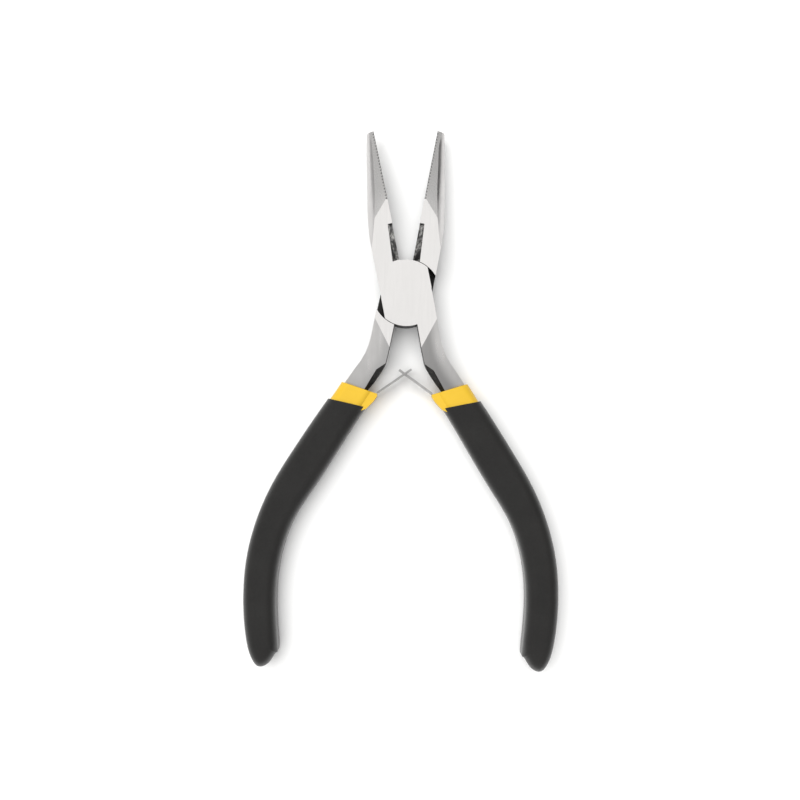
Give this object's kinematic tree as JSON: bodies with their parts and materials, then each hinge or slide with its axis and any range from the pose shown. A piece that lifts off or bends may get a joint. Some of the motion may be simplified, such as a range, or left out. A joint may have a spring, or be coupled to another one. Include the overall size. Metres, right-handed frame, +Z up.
{
  "type": "needle nose pliers",
  "caption": "Small spring-opened needle nose pliers with serrated jaws, side cutters, a lap joint, crossed leaf springs and black dipped grips with yellow collars.",
  "frame": {"origin": "on the pivot axis, at the flat face the pliers lie on", "axes": "+Z up through the thickness along the pivot axis, +Y towards the jaw tips, +X across the tool to the right grip"},
  "size_m": [0.0706, 0.1213, 0.0086],
  "materials": {
    "polished_steel": "polished faces, brushed tangs, blackened joint and cutter recesses",
    "spring_steel": "satin",
    "rivet_steel": "plain",
    "yellow_vinyl": "satin dipped vinyl",
    "black_vinyl": "matt dipped vinyl"
  },
  "bodies": {
    "back_lever": {"back_lever": "polished_steel", "left_grip_inner_sleeve": "yellow_vinyl", "left_grip_outer_sleeve": "black_vinyl", "left_spring_anchor": "spring_steel", "left_spring_rivet": "rivet_steel"},
    "front_lever": {"front_lever": "polished_steel", "pivot_rivet": "polished_steel", "right_grip_inner_sleeve": "yellow_vinyl", "right_grip_outer_sleeve": "black_vinyl", "right_spring_anchor": "spring_steel", "right_spring_rivet": "rivet_steel"},
    "left_spring": {"left_spring_leaf": "spring_steel"},
    "right_spring": {"right_spring_leaf": "spring_steel"}
  },
  "joints": [
    {"name": "lever_pivot", "type": "hinge", "parent": "back_lever", "child": "front_lever", "pos_m": [0, 0, 0.0043], "axis": [0, 0, -1], "range_deg": [-3, 22], "stiffness_Nm_per_rad": 0.6},
    {"name": "left_spring_flex", "type": "hinge", "parent": "back_lever", "child": "left_spring", "pos_m": [-0.00643, -0.02212, 0.0043], "axis": [0, 0, 1], "range_deg": [-4.2, 29]},
    {"name": "right_spring_flex", "type": "hinge", "parent": "front_lever", "child": "right_spring", "pos_m": [0.00562, -0.02234, 0.0043], "axis": [0, 0, -1], "range_deg": [-4.2, 29.6]}
  ],
  "couplings": [
    {"joint": "left_spring_flex", "follows": "lever_pivot", "ratio": 1.3},
    {"joint": "right_spring_flex", "follows": "lever_pivot", "ratio": 1.33}
  ]
}
